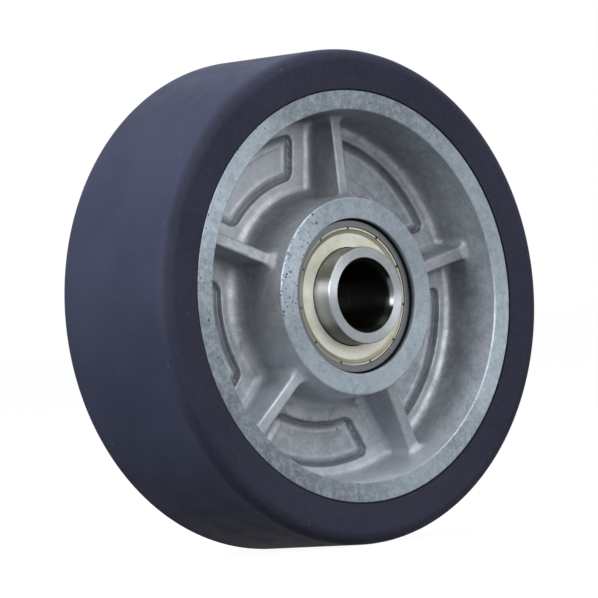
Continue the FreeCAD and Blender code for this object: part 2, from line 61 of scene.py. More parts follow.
FILLED_TURN, FILLED_WIDTH, FILLED_SOFT = 68.0, 14.0, 8.0
FILLED_RADIUS, FILLED_EDGE, FILLED_SLOPE = 42.0, 2.0, 7.0
SEAT_RADIUS, HUB_BORE = 23.5, 20.5
BEARING_CENTRE, BEARING_HALF = 16.0, 7.0
COLLAR_RADIUS, BORE_RADIUS, HUB_HALF = 14.7, 10.0, 29.0
MOUTH_WIDTH, MOUTH_DEPTH, MOUTH_ROUND = 1.3, 2.2, 2.5
RACE_RADIUS, OUTER_RACE_CENTRE, INNER_RACE_CENTRE = 4.12, 16.65, 16.85
RING_SHOULDER, RING_LAND, GROOVE_RADIUS = 19.2, 21.0, 21.6
GROOVE_START, GROOVE_END = 5.3, 6.1
RING_CHAMFER, RING_ROUND = 0.8, 0.12
CUT_ROUND, SEAT_ROUND, OUTER_ROUND = 0.5, 0.25, 0.3
BORE_ROUND, MOUTH_EDGE, COLLAR_EDGE, COLLAR_FOOT = 0.9, 0.35, 0.4, 0.3
SHIELD_HOLE, SHIELD_FLAT, SHIELD_FOLD, SHIELD_BEAD, SHIELD_RIM = 14.95, 19.05, 20.25, 20.95, 21.55
SHIELD_INSIDE, SHIELD_FACE, BEAD_INSIDE, BEAD_FOOT, BEAD_TOP = 5.7, 6.1, 5.35, 6.05, 6.6

# Nicks of the shield's bead. Half a nick is an angle, and its flat and cut parts are shares of it.
NICK_COUNT, NICK_START, NICK_HALF = 11, math.radians(22.1), 0.36 / 20.6
NICK_FLAT, NICK_CUT, STEPS_BETWEEN = 0.85, 0.9, 22
NICK_DEPTH, NICK_FLOOR, NICK_RADIUS = 0.4, 6.3, 20.26

# Net of the web: its upper edge, and the lines of its grid in runs of (start, end, spacing)
NET_TOP = 21.6
WEB_RADII = ((29.4, 31.8, 0.5), (31.8, 39.6, 0.42), (39.6, 47.6, 0.66), (47.6, 54.6, 0.42),
             (54.6, 56.9, 0.5))
WEB_HEIGHTS = ((2.2, 6.2, 0.42), (6.2, 13.0, 0.75), (13.0, 20.6, 0.55),
               (20.6, NET_TOP + 0.5, 0.7))
SEGMENTS_PER_RIB = 116
SLOPE_STEP, LONGEST_MOVE, MOVES = 0.02, 0.4, 4
TUCK_START, TUCK_RUN, TUCK_DEPTH = NET_TOP - 0.25, 0.3, 0.06
WHEEL_SEGMENTS, BEARING_SEGMENTS, QUICK_ROUGH = 360, 288, 2.0


# Meshes

def make_piece(name, points, faces, normals, materials, slots=None):
    """Mesh object from millimetre points, with its own smooth normals."""
    mesh = bpy.data.meshes.new(name)
    mesh.from_pydata((np.asarray(points) * MM).tolist(), [], faces)
    mesh.update()
    for material in materials:
        mesh.materials.append(material)
    if slots is not None:
        mesh.polygons.foreach_set("material_index", np.asarray(slots, np.int32))
    mesh.polygons.foreach_set("use_smooth", np.ones(len(mesh.polygons), bool))
    mesh.normals_split_custom_set_from_vertices(np.asarray(normals, float).tolist())
    piece = bpy.data.objects.new(name, mesh)
    bpy.context.scene.collection.objects.link(piece)
    return piece


def rounded_profile(corners, closed=False, steps=6):
    """Points (radius, along) and their normals for a line with rounded corners.

    The solid lies to the right of the direction of travel, so normals point to the left.
    A corner without a radius gives two points, one for each of its faces."""
    count = len(corners)
    points, normals, breaks = [], [], []

    def left(a, b):
        run = np.array(b, float) - np.array(a, float)
        run /= np.hypot(*run)
        return np.array([-run[1], run[0]])

    for number, corner in enumerate(corners):
        here = np.array(corner[:2], float)
        radius = corner[2] if len(corner) > 2 else 0.0
        first = number == 0 and not closed
        last = number == count - 1 and not closed
        before = np.array(corners[number - 1][:2], float)
        after = np.array(corners[(number + 1) % count][:2], float)
        if first or last:
            points.append(here)
            normals.append(left(here, after) if first else left(before, here))
            breaks.append(False)
            continue
        normal_in, normal_out = left(before, here), left(here, after)
        if radius <= 0:
            points += [here, here]
            normals += [normal_in, normal_out]
            breaks += [True, False]
            continue
        cross = normal_in[0] * normal_out[1] - normal_in[1] * normal_out[0]
        turn = math.atan2(cross, normal_in @ normal_out)
        reach = radius * math.tan(abs(turn) / 2)
        along = (here - before) / np.hypot(*(here - before))
        side = -1.0 if turn < 0 else 1.0
        centre = here - along * reach + normal_in * radius * side
        for step in range(steps + 1):
            angle = turn * step / steps
            cosine, sine = math.cos(angle), math.sin(angle)
            normal = np.array([[cosine, -sine], [sine, cosine]]) @ normal_in
            points.append(centre - normal * radius * side)
            normals.append(normal)
            breaks.append(False)
    return np.array(points), np.array(normals), breaks


def turned(points, normals, breaks, angles, closed=False):
    """Surface of revolution about Y: points, faces and normals."""
    if isinstance(angles, int):
        angles = np.arange(angles) * 2 * math.pi / angles
    segments = len(angles)
    cosine, sine = np.cos(angles), np.sin(angles)
    count = len(points)
    ring_points = np.empty((count, segments, 3))
    ring_normals = np.empty((count, segments, 3))
    for rings, line in ((ring_points, points), (ring_normals, normals)):
        rings[..., 0] = line[:, :1] * cosine
        rings[..., 1] = line[:, 1:]
        rings[..., 2] = line[:, :1] * sine
    spots = np.arange(segments)
    following = (spots + 1) % segments
    quads = []
    for row in range(count if closed else count - 1):
        if breaks[row]:
            continue
        other = (row + 1) % count
        quads.append(np.stack([row * segments + spots, other * segments + spots,
                               other * segments + following, row * segments + following], 1))
    faces = np.concatenate(quads)
    ring_points = ring_points.reshape(-1, 3)
    ring_normals = ring_normals.reshape(-1, 3)
    return ring_points, outward(ring_points, faces, ring_normals), ring_normals


def outward(points, faces, normals):
    """Faces turned so that they look the way their normals point."""
    corners = points[faces]
    facing = np.cross(corners[:, 2] - corners[:, 0], corners[:, 3] - corners[:, 1])
    wanted = normals[faces[:, 0]] + normals[faces[:, 2]]
    flip = (facing * wanted).sum(1) < 0
    faces = faces.copy()
    faces[flip] = faces[flip][:, ::-1]
    return faces


def join_parts(parts):
    """One set of points, faces, normals and material numbers from several."""
    points, faces, normals, slots, start = [], [], [], [], 0
    for part_points, part_faces, part_normals, slot in parts:
        points.append(part_points)
        normals.append(part_normals)
        faces.append(part_faces + start)
        slots.append(np.full(len(part_faces), slot))
        start += len(part_points)
    return tuple(np.concatenate(rows) for rows in (points, faces, normals, slots))


# Shape of the casting between its hub boss and its rim

def rounded_meet(one, other, radius):
    """Joins two solids and rounds the hollow corner between them."""
    corner = np.hypot(np.maximum(radius - one, 0), np.maximum(radius - other, 0))
    return radius - corner + np.maximum(np.minimum(one, other) - radius, 0)


def rounded_edge(one, other, radius):
    """Keeps what is inside both surfaces and rounds the outer edge between them."""
    corner = np.hypot(np.maximum(one + radius, 0), np.maximum(other + radius, 0))
    return corner - radius + np.minimum(np.maximum(one, other) + radius, 0)


def web_height(radius, from_rib, angle):
    """Height of the web's surface: land, moat and pad. One moat runs out beside the boss."""
    ring = np.maximum(MOAT_INNER - radius, radius - MOAT_OUTER)
    side = MOAT_SIDE - from_rib
    loop = rounded_edge(ring, side, MOAT_CORNER)
    land = (LAND - MOAT) * shoulder(loop / LAND_RUN, LAND_POWER)
    pad = (PAD - MOAT) * shoulder(-loop / PAD_RUN, PAD_POWER)
    pad = pad + LIP_HEIGHT * np.exp(-((loop + LIP_PLACE) / LIP_WIDTH) ** 2) * (pad > 0)
    height = MOAT + np.maximum(land, pad)
    near = math.cos(math.radians(FILLED_WIDTH))
    far = math.cos(math.radians(FILLED_WIDTH + FILLED_SOFT))
    filled = np.clip((np.cos(angle - math.radians(FILLED_TURN)) - far) / (near - far), 0, 1)
    filled = filled * np.clip((FILLED_RADIUS - radius) / FILLED_EDGE, 0, 1)
    level = PAD + (LAND - PAD) * np.clip((FILLED_RADIUS - radius) / FILLED_SLOPE, 0, 1)
    return height + (np.maximum(height, level) - height) * filled


def shoulder(share, power):
    """Rise from 0 to 1 that starts steeply and rounds off at the top."""
    return 1 - (1 - np.clip(share, 0, 1)) ** power


def casting(x, height, z):
    """Signed distance to the casting, negative inside it."""
    radius = np.hypot(x, z)
    pitch = 2 * math.pi / RIB_COUNT
    turn = np.arctan2(z, x)
    angle = turn - math.radians(RIB_PHASE)
    angle = angle - pitch * np.round(angle / pitch)
    from_rib = radius * np.abs(np.sin(angle))
    steep = math.cos(math.atan(DRAFT))
    web = height - web_height(radius, from_rib, turn)
    boss = (radius - BOSS_RADIUS - (FACE - height) * DRAFT) * steep
    rim = (MOUTH_RADIUS - (FACE - height) * DRAFT - radius) * steep
    side = from_rib - RIB_HALF_WIDTH - (RIB_TOP_BOSS - height) * RIB_DRAFT
    fall = (RIB_TOP_BOSS - RIB_TOP_RIM) * (radius - RIB_START) / RIB_LENGTH
    rib = rounded_edge(side, height - RIB_TOP_BOSS + fall, RIB_ROUND)
    solid = rounded_meet(web, boss, BOSS_FILLET)
    solid = rounded_meet(solid, rim, RIM_FILLET)
    return rounded_meet(solid, rib, RIB_FILLET)


def casting_slope(points):
    """Direction in which the distance to the casting grows, not of unit length."""
    slope = np.empty_like(points)
    for axis in range(3):
        shift = np.zeros(3)
        shift[axis] = SLOPE_STEP
        ahead, behind = points + shift, points - shift
        slope[:, axis] = (casting(*ahead.T) - casting(*behind.T)) / (2 * SLOPE_STEP)
    return slope


def spaced(runs, rough):
    """Grid lines from (start, end, spacing) runs that follow each other."""
    lines = []
    for start, end, spacing in runs:
        count = max(1, round((end - start) / (spacing * rough)))
        lines += list(start + (end - start) * np.arange(count) / count)
    return np.array(lines + [runs[-1][1]])


def crossed_cells(value, axes):
    """A place in each grid cell that the surface crosses, and the number of each cell's place."""
    shape = tuple(count - 1 for count in value.shape)
    total, hits = np.zeros(shape + (3,)), np.zeros(shape)

    def part(offsets):
        return value[tuple(slice(o, o + n) for o, n in zip(offsets, shape))]

    for axis in range(3):
        others = [a for a in range(3) if a != axis]
        for low in range(2):
            for high in range(2):
                start = [0, 0, 0]
                start[others[0]], start[others[1]] = low, high
                end = list(start)
                end[axis] = 1
                first, second = part(start), part(end)
                crossing = (first < 0) != (second < 0)
                share = np.where(crossing, first / np.where(crossing, first - second, 1), 0)
                for direction, line in enumerate(axes):
                    begin = line[start[direction]:start[direction] + shape[direction]]
                    stop = line[end[direction]:end[direction] + shape[direction]]
                    view = [1, 1, 1]
                    view[direction] = -1
                    place = begin.reshape(view) + (stop - begin).reshape(view) * share
                    total[..., direction] += np.where(crossing, place, 0)
                hits += crossing
    used = hits > 0
    index = np.full(shape, -1)
    index[used] = np.arange(used.sum())
    return total[used] / hits[used][:, None], index


def net_faces(value, index):
    """Quads that join the places of the four cells round each grid line that is crossed."""
    segments = index.shape[1]
    quads = []
    for axis in range(3):
        others = [a for a in range(3) if a != axis]
        first = [slice(None)] * 3
        second = [slice(None)] * 3
        first[axis], second[axis] = slice(None, -1), slice(1, None)
        crossing = (value[tuple(first)] < 0) != (value[tuple(second)] < 0)
        spots = np.argwhere(crossing)
        if axis != 1:
            spots = spots[spots[:, 1] < segments]
        corners, valid = [], np.ones(len(spots), bool)
        for low, high in ((-1, -1), (0, -1), (0, 0), (-1, 0)):
            cell = spots.copy()
            cell[:, others[0]] += low
            cell[:, others[1]] += high
            cell[:, 1] %= segments
            for a in (0, 2):
                valid &= (cell[:, a] >= 0) & (cell[:, a] < index.shape[a])
            corners.append(cell)
        quads.append(np.stack([index[tuple(cell[valid].T)] for cell in corners], 1))
    faces = np.concatenate(quads)
    return faces[(faces >= 0).all(1)]


def web_surface(rough):
    """Net of quads on the casting's surface, made in a grid of radius, angle and height.

    Its points are moved onto the surface in a few steps, and its upper edge is tucked a little
    under the turned walls that go on from there."""
    radii, heights = spaced(WEB_RADII, rough), spaced(WEB_HEIGHTS, rough)
    segments = RIB_COUNT * round(SEGMENTS_PER_RIB / rough)
    angles = np.arange(segments) * 2 * math.pi / segments + math.radians(RIB_PHASE)
    grid_r, grid_a, grid_h = np.meshgrid(radii, angles, heights, indexing="ij")
    value = casting(grid_r * np.cos(grid_a), grid_h, grid_r * np.sin(grid_a))
    value = np.concatenate([value, value[:, :1]], 1)
    angles = np.append(angles, angles[0] + 2 * math.pi)
    places, index = crossed_cells(value, (radii, angles, heights))
    points = np.stack([places[:, 0] * np.cos(places[:, 1]), places[:, 2],
                       places[:, 0] * np.sin(places[:, 1])], 1)
    for _ in range(MOVES):
        slope = casting_slope(points)
        away = casting(*points.T) / np.maximum((slope ** 2).sum(1), 1e-6)
        move = slope * away[:, None]
        length = np.maximum(np.linalg.norm(move, axis=1), 1e-9)
        points = points - move * np.minimum(1, LONGEST_MOVE / length)[:, None]
    slope = casting_slope(points)
    normals = slope / np.linalg.norm(slope, axis=1)[:, None]
    tucked = np.clip((points[:, 1] - TUCK_START) / TUCK_RUN, 0, 1)
    points = points - normals * (TUCK_DEPTH * tucked)[:, None]
    return points, outward(points, net_faces(value, index), normals), normals


# Nodes of the materials. Lengths in masks are millimetres, and angles are degrees round the axle,
# from +X towards +Z.

def new_material(name, metallic, roughness, specular=0.5, color=(0.5, 0.5, 0.5)):
    material = bpy.data.materials.new(name)
    material.use_nodes = True
    shader = material.node_tree.nodes["Principled BSDF"]
    shader.inputs["Metallic"].default_value = metallic
    shader.inputs["Roughness"].default_value = roughness
    shader.inputs["Specular IOR Level"].default_value = specular
    shader.inputs["Base Color"].default_value = (*color, 1)
    return material


def scaled(tone, factor):
    """Lighter or darker tone of the same hue."""
    return tuple(min(1.0, part * factor) for part in tone)


class Nodes:
    """Short names for the nodes of one material, and the colour that is being built up."""

    def __init__(self, material):
        self.tree = material.node_tree
        self.shader = self.tree.nodes["Principled BSDF"]
        self.place = self.tree.nodes.new("ShaderNodeTexCoord").outputs["Object"]
        self.base = None

    def link(self, source, target):
        self.tree.links.new(source, target)

    def noise(self, scale, detail=3.0, roughness=0.6, warp=0.0, stretch=None):
        node = self.tree.nodes.new("ShaderNodeTexNoise")
        node.inputs["Scale"].default_value = scale
        node.inputs["Detail"].default_value = detail
        node.inputs["Roughness"].default_value = roughness
        node.inputs["Distortion"].default_value = warp
        self.link(self.stretched(stretch), node.inputs["Vector"])
        return node.outputs["Fac"]

    def stretched(self, stretch):
        if stretch is None:
            return self.place
        node = self.tree.nodes.new("ShaderNodeMapping")
        node.inputs["Scale"].default_value = stretch
        self.link(self.place, node.inputs["Vector"])
        return node.outputs["Vector"]

    def cells(self, scale):
        node = self.tree.nodes.new("ShaderNodeTexVoronoi")
        node.inputs["Scale"].default_value = scale
        self.link(self.place, node.inputs["Vector"])
        return node.outputs["Distance"], node.outputs["Color"]

    def ramp(self, value, low, high, start=0.0, end=1.0):
        node = self.tree.nodes.new("ShaderNodeMapRange")
        node.interpolation_type = "SMOOTHSTEP"
        node.inputs["From Min"].default_value = low
        node.inputs["From Max"].default_value = high
        node.inputs["To Min"].default_value = start
        node.inputs["To Max"].default_value = end
        self.link(value, node.inputs["Value"])
        return node.outputs["Result"]

    def math(self, kind, *values):
        node = self.tree.nodes.new("ShaderNodeMath")
        node.operation = kind
        for socket, value in zip(node.inputs, values):
            if isinstance(value, (int, float)):
                socket.default_value = value
            else:
                self.link(value, socket)
        return node.outputs["Value"]

    def mix(self, share, one, other):
        node = self.tree.nodes.new("ShaderNodeMix")
        node.data_type = "RGBA"
        self.link(share, node.inputs["Factor"])
        for socket, value in ((node.inputs[6], one), (node.inputs[7], other)):
            if isinstance(value, tuple):
                socket.default_value = (*value, 1)
            else:
                self.link(value, socket)
        return node.outputs[2]

    def both(self, mask, *others):
        for other in others:
            mask = self.math("MULTIPLY", mask, other)
        return mask

    def either(self, one, other):
        return self.math("MAXIMUM", one, other)

    def opposite(self, mask):
        return self.ramp(mask, 1, 0)

    def cloud(self, scale, low, high, start=0.0, end=1.0, **noise):
        """Patches of noise, from start where it is under low to end where it is over high."""
        return self.ramp(self.noise(scale, **noise), low, high, start, end)

    def dots(self, scale, size, core, chance):
        """Round dots in a few of the cells, with sizes as parts of a cell."""
        distance, colour = self.cells(scale)
        return self.both(self.ramp(distance, size, core), self.math("LESS_THAN", colour, chance))

    def tint(self, mask, mark):
        """Mixes a mark, its share and its tone, into the colour where the mask is one."""
        share, tone = mark
        self.base = self.mix(self.both(mask, share), self.base, tone)

    def axes(self):
        node = self.tree.nodes.new("ShaderNodeSeparateXYZ")
        self.link(self.place, node.inputs["Vector"])
        return node.outputs

    def radius(self):
        x, _, z = self.axes()
        return self.math("SQRT", self.math("ADD", self.both(x, x), self.both(z, z)))

    def height(self):
        """Distance along the axle from the middle of the wheel."""
        return self.math("ABSOLUTE", self.axes()[1])

    def rise(self, length, start, full, low=0.0, high=1.0):
        return self.ramp(length, start * MM, full * MM, low, high)

    def band(self, length, start, full, fall, end):
        """One between full and fall, zero before start and after end."""
        return self.both(self.rise(length, start, full), self.rise(length, end, fall))

    def toward(self, centre, half_width, soft):
        """One near a direction round the axle and zero away from it."""
        x, _, z = self.axes()
        turn = math.radians(centre)
        along = self.math("ADD", self.both(x, math.cos(turn)), self.both(z, math.sin(turn)))
        share = self.math("DIVIDE", along, self.radius())
        edge = math.cos(math.radians(half_width + soft))
        return self.ramp(share, edge, math.cos(math.radians(half_width)))

    def from_moat(self):
        """Distance from the foot of the moats' outer wall, below zero towards the pad."""
        x, _, z = self.axes()
        radius, corner = self.radius(), MOAT_CORNER * MM
        half_pitch = math.pi / RIB_COUNT
        angle = self.math("SUBTRACT", self.math("ARCTAN2", z, x), math.radians(RIB_PHASE))
        angle = self.math("WRAP", angle, half_pitch, -half_pitch)
        from_rib = self.both(radius, self.math("ABSOLUTE", self.math("SINE", angle)))
        ring = self.either(self.math("SUBTRACT", MOAT_INNER * MM, radius),
                           self.math("SUBTRACT", radius, MOAT_OUTER * MM))
        side = self.math("SUBTRACT", MOAT_SIDE * MM, from_rib)
        squares = [self.math("POWER", self.either(self.math("ADD", value, corner), 0.0), 2.0)
                   for value in (ring, side)]
        outside = self.math("SUBTRACT", self.math("SQRT", self.math("ADD", *squares)), corner)
        inside = self.math("MINIMUM", self.math("ADD", self.either(ring, side), corner), 0.0)
        return self.math("ADD", outside, inside)

    def color(self):
        self.link(self.base, self.shader.inputs["Base Color"])

    def roughness(self, value):
        self.link(value, self.shader.inputs["Roughness"])

    def brushed(self, amount):
        """Highlights that run across the marks left by turning in a lathe."""
        tangent = self.tree.nodes.new("ShaderNodeTangent")
        tangent.direction_type = "RADIAL"
        tangent.axis = "Y"
        self.link(tangent.outputs[0], self.shader.inputs["Tangent"])
        self.shader.inputs["Anisotropic"].default_value = amount
        self.shader.inputs["Anisotropic Rotation"].default_value = 0.25

    def bump(self, height, strength, distance):
        node = self.tree.nodes.new("ShaderNodeBump")
        node.inputs["Strength"].default_value = strength
        node.inputs["Distance"].default_value = distance
        self.link(height, node.inputs["Height"])
        self.link(node.outputs["Normal"], self.shader.inputs["Normal"])


# Tones are linear colours. A mark is a share and the tone that it mixes in. A side is a direction
# round the axle, half its width and the width of its soft edge. A rise is where a mask starts and
# where it is full, and a band is where it starts, is full, falls and ends.

# Tread
RUNNING_TONES = (0.042, 0.048, 0.083), (0.052, 0.059, 0.100)
FLANK_TONES = (0.0255, 0.026, 0.0435), (0.031, 0.032, 0.052)
UNDERSIDE_SHADING_SIDE, CORNER_SHADE_SIDE = (262, 25, 30), (238, 26, 26)
FLANK_RISE, CORNER_BAND, JOINT_RISE = (21.8, 24.3), (20.5, 22.2, 23.6, 24.7), (62.9, 62.6)
# Painted shade on the running surface towards the bottom, and painted light on the flank there
RUNNING_UNDER_SHADE = 0.40, (0.026, 0.020, 0.035)
FLANK_UNDER_LIGHT = 0.30, (0.045, 0.046, 0.068)
# Painted shade on the lower left of the rounded corner
TREAD_LOWER_CORNER_SHADE = 0.42, (0.016, 0.012, 0.026)
TREAD_GRAIN = 0.2, (0.055, 0.060, 0.095)
TREAD_SPECK = 0.55, (0.20, 0.21, 0.25)
TREAD_JOINT = 1.0, (0.004, 0.004, 0.006)

# Skin of the casting
CAST_LIGHT, CAST_DARK, CAST_WARM = (0.41, 0.44, 0.48), (0.29, 0.315, 0.345), (0.40, 0.39, 0.42)
CAST_MOTTLED = 0.34, scaled(CAST_LIGHT, 1.45)
# Painted shade on walls and ribs above the web, in patches, and on the shaded side of the boss
CAST_RECESS_SHADE = 0.45, (0.155, 0.152, 0.150)
CAST_LIT = 0.42, (0.64, 0.68, 0.74)
# Painted shade on the upper side of the casting
CAST_UPPER_SHADE = 0.30, (0.19, 0.205, 0.225)
CAST_SMUDGE = 0.45, (0.15, 0.145, 0.15)
CAST_WORN = 0.35, (0.55, 0.56, 0.60)
# Painted light on the lower walls and on the web at the upper left
CAST_SIDE_LIGHT = 0.32, (0.64, 0.67, 0.72)
# Painted shade on the sides of two ribs and on the web at the lower left
CAST_SIDE_SHADE = 0.30, (0.21, 0.22, 0.25)
# Painted highlight on the lip round each pad
CAST_LIP_HIGHLIGHT = 0.38, (0.62, 0.64, 0.68)
# Painted highlight on the edge of the land beside each moat
CAST_LAND_HIGHLIGHT = 0.42, (0.62, 0.62, 0.65)
# Painted shade in the moats
CAST_MOAT_SHADE = 0.42, (0.11, 0.115, 0.125)
CAST_PIT = 0.6, (0.09, 0.09, 0.095)
# Painted glints on the land
CAST_GLINT = 0.45, (0.92, 0.92, 0.95)
# Painted shade on the wall of the bearing seat
CAST_SEAT_SHADE = 0.94, (0.010, 0.010, 0.010)
BOSS_SHADED_SIDE, RIM_LIT_SIDE, UPPER_SHADE_SIDE = (145, 46, 32), (268, 16, 24), (75, 35, 45)
RAISED_LIGHT_SIDE, FLAT_LIGHT_SIDE = (250, 30, 45), (119, 16, 24)
FLAT_SHADE_SIDE, RAISED_SHADE_SIDES = (250, 16, 20), ((294, 7, 8), (88, 4, 6))
RECESS_SHADE_BAND, SHADED_BAND = (5.2, 6.6, 11.0, 20.0), (7.0, 10.0, 24.0, 24.7)
SHADED_RISE, LIT_RISE, FLAT_RISE = (37.0, 32.5), (48.5, 52.0), (6.4, 6.0)
SEAT_RISE, SEAT_HEIGHT_RISE = (23.8, 23.6), (24.2, 23.2)
LIP_HIGHLIGHT_BAND, LAND_HIGHLIGHT_BAND = (-3.1, -2.4, -2.1, -1.4), (0.7, 1.3, 3.4, 6.2)
MOAT_SHADE_BAND, GLINT_BAND = (-2.1, -0.1, 0.4, 0.9), (1.2, 2.0, 5.0, 6.2)

# Turned faces of the core
CUT_LIGHT, CUT_DARK, CUT_WARM = (0.27, 0.315, 0.355), (0.20, 0.23, 0.265), (0.25, 0.28, 0.305)
# Painted highlight on the right of the rim
CUT_RIGHT_HIGHLIGHT = 0.40, scaled(CUT_LIGHT, 1.7)
# Painted shade on the lower left of the rim
CUT_LOW_LEFT_SHADE = 0.22, scaled(CUT_DARK, 0.5)
# Painted highlights on two sides of the rim and on the lower side of the boss
CUT_SIDE_HIGHLIGHTS = 0.36, scaled(CUT_LIGHT, 1.7)
CUT_BOSS = 0.29, scaled(CUT_LIGHT, 2.0)
CUT_STREAKS = 0.36, scaled(CUT_LIGHT, 1.7)
CUT_SHADE = 0.30, scaled(CUT_DARK, 0.62)
# Painted shade on the right of the boss
CUT_RIGHT_BOSS_SHADE = 0.22, CUT_DARK
CUT_PIT = 0.9, (0.018, 0.040, 0.075)
CUT_NICK = 0.7, (0.62, 0.66, 0.70)
RIM_RIGHT_HIGHLIGHT_SIDE, RIM_LOW_LEFT_SHADE_SIDE = (2, 25, 40), (220, 10, 30)
RIM_HIGHLIGHTED_SIDES, BOSS_HIGHLIGHTED_SIDE = ((140, 10, 22), (287, 6, 14)), (262, 25, 45)
BOSS_RIGHT_SHADE_SIDE, RIM_RISE, BOSS_RISE = (0, 30, 40), (45, 50), (45, 40)

# Pits of the boss: where they are, how likely a cell is to have one, and (cells, size) of each kind
PITTED_SIDE, PITTED_ABOVE, PITTED_ABOVE_SHARE = (168, 20, 16), (128, 8, 12), 0.6
PITTED_EDGE_RISE, PITTED_EDGE_LEAST = (24, 28), 0.4
PITTED_RIM_RISE, PITTED_RIM_LEAST = (40, 35), 0.22
CHANCE_IN_CLUSTER, CHANCE_BETWEEN, CHANCE_ANYWHERE = 0.60, 0.14, 0.012
PIT_SIZES, PIT_CORE = ((560, 0.29), (820, 0.34), (1250, 0.42)), 0.55

# Bearings
RING_TONE, COLLAR_TONE = (0.195, 0.205, 0.213), (0.43, 0.465, 0.49)
# The last tone is near-black painted shade for the shield's nicks
BALL_TONE, CAGE_TONE, NICK_SHADE_TONE = (0.7, 0.7, 0.72), (0.50, 0.47, 0.40), (0.02, 0.018, 0.012)
RING_LINE = 0.85, (0.018, 0.018, 0.017)
# Painted dark reflections on the collar's outside, mottled
OUTSIDE_REFLECTION_TONES = (0.135, 0.134, 0.122), (0.185, 0.187, 0.178)
# Painted highlight on the left of the collar's outside
COLLAR_PAINTED_HIGHLIGHT = 0.9, (0.56, 0.575, 0.59)
# Painted shade inside the bore, weaker on its right near the mouth where light falls
BORE_SHADE_TONE, BORE_SHADE_SHARE, BORE_LIT_SHADE_SHARE = (0.007, 0.008, 0.005), 0.985, 0.45
COLLAR_HIGHLIGHT_SIDE, COLLAR_HIGHLIGHT_RISE, COLLAR_HIGHLIGHT_LEAST = (186, 8, 26), (21.2, 25.5), 0.45
BORE_BRIGHT_SIDE, BORE_BRIGHT_RISE, BORE_RISE = (2, 12, 16), (27.4, 28.4), (11.55, 11.35)
RING_LINE_RISE, OUTSIDE_RISE = (22.75, 23.05), (14.35, 14.6)
SHIELD_TONES = (0.68, 0.665, 0.55), (0.80, 0.79, 0.68)
SHIELD_STAIN = 0.35, (0.36, 0.33, 0.22)
SHIELD_SPOTS = 0.6, (0.20, 0.18, 0.11)
# Painted shade on the slope up to the bead
SHIELD_SLOPE_SHADE = 0.82, (0.25, 0.235, 0.155)
# Painted shade in the fold between the slope and the bead
SHIELD_CREASE_SHADE = 0.6, (0.07, 0.065, 0.04)
# The bead is greyer on its left side
SHIELD_GREY_BEAD = 0.85, (0.27, 0.275, 0.255)
# Painted light on the lower part of the flat
SHIELD_LOWER_LIGHT = 0.5, (0.98, 0.97, 0.86)
SPOTS_SIDE, GREY_BEAD_SIDE, SHIELD_LIGHT_SIDE = (264, 7, 10), (190, 50, 45), (258, 30, 30)
SPOTS_BAND, GREY_BEAD_RISE, SHIELD_LIGHT_RISE = (16.0, 16.6, 17.8, 18.4), (19.6, 20.1), (18.9, 18.4)
SLOPE_SHADE_BAND, CREASE_SHADE_BAND = (18.95, 19.3, 20.2, 20.6), (20.00, 20.12, 20.30, 20.42)


def tread_material():
    """Dark blue nylon with a darker flank, and dirt at its joint with the core. Painted shade
    darkens the running surface towards the bottom and the rounded corner on the lower left, and
    painted light lightens the flank towards the bottom.
    """
    material = new_material("tread_nylon", metallic=0.0, roughness=0.65, specular=0.08)
    n = Nodes(material)
    cloudy = n.cloud(28, 0.35, 0.65, detail=4)
    # Painted shade and painted light towards the bottom of the tread
    under = n.toward(*UNDERSIDE_SHADING_SIDE)
    n.base = n.mix(cloudy, *RUNNING_TONES)
    n.tint(under, RUNNING_UNDER_SHADE)
    running = n.base
    n.base = n.mix(cloudy, *FLANK_TONES)
    n.tint(under, FLANK_UNDER_LIGHT)
    height = n.height()
    n.base = n.mix(n.rise(height, *FLANK_RISE), running, n.base)
    # Painted shade on the lower left of the rounded corner
    rounded = n.both(n.band(height, *CORNER_BAND), n.toward(*CORNER_SHADE_SIDE))
    n.tint(rounded, TREAD_LOWER_CORNER_SHADE)
    n.tint(n.cloud(900, 0.35, 0.7), TREAD_GRAIN)
    distance, colour = n.cells(330)
    speck = n.both(n.ramp(distance, 0.12, 0.05), n.ramp(colour, 0.80, 0.84))
    n.tint(speck, TREAD_SPECK)
    n.tint(n.rise(n.radius(), *JOINT_RISE), TREAD_JOINT)
    n.color()
    n.roughness(n.cloud(120, 0.3, 0.7, 0.54, 0.66, detail=4))
    uneven = n.math("ADD", n.noise(1500, detail=4), n.both(speck, -0.6))
    n.bump(uneven, strength=0.25, distance=0.06 * MM)
    return material


def aluminium(name, light, dark, warm, roughness, bump):
    """Material and nodes of mottled metal, without its marks."""
    material = new_material(name, metallic=0.55, roughness=roughness)
    n = Nodes(material)
    patches = n.cloud(70, 0.36, 0.64, detail=5, roughness=0.62, warp=0.6)
    n.base = n.mix(patches, dark, light)
    n.tint(n.cloud(38, 0.48, 0.72), (0.5, warm))
    grain = n.cloud(1000, 0.38, 0.64, roughness=0.75)
    n.tint(grain, (0.34, scaled(dark, 0.58)))
    n.roughness(n.cloud(240, 0.3, 0.7, roughness - 0.06, roughness + 0.08, detail=4))
    uneven = n.both(n.noise(180, detail=4), 2.0)
    uneven = n.math("ADD", n.noise(1300, detail=4, roughness=0.65), uneven)
    n.bump(uneven, strength=bump, distance=0.12 * MM)
    return material, n


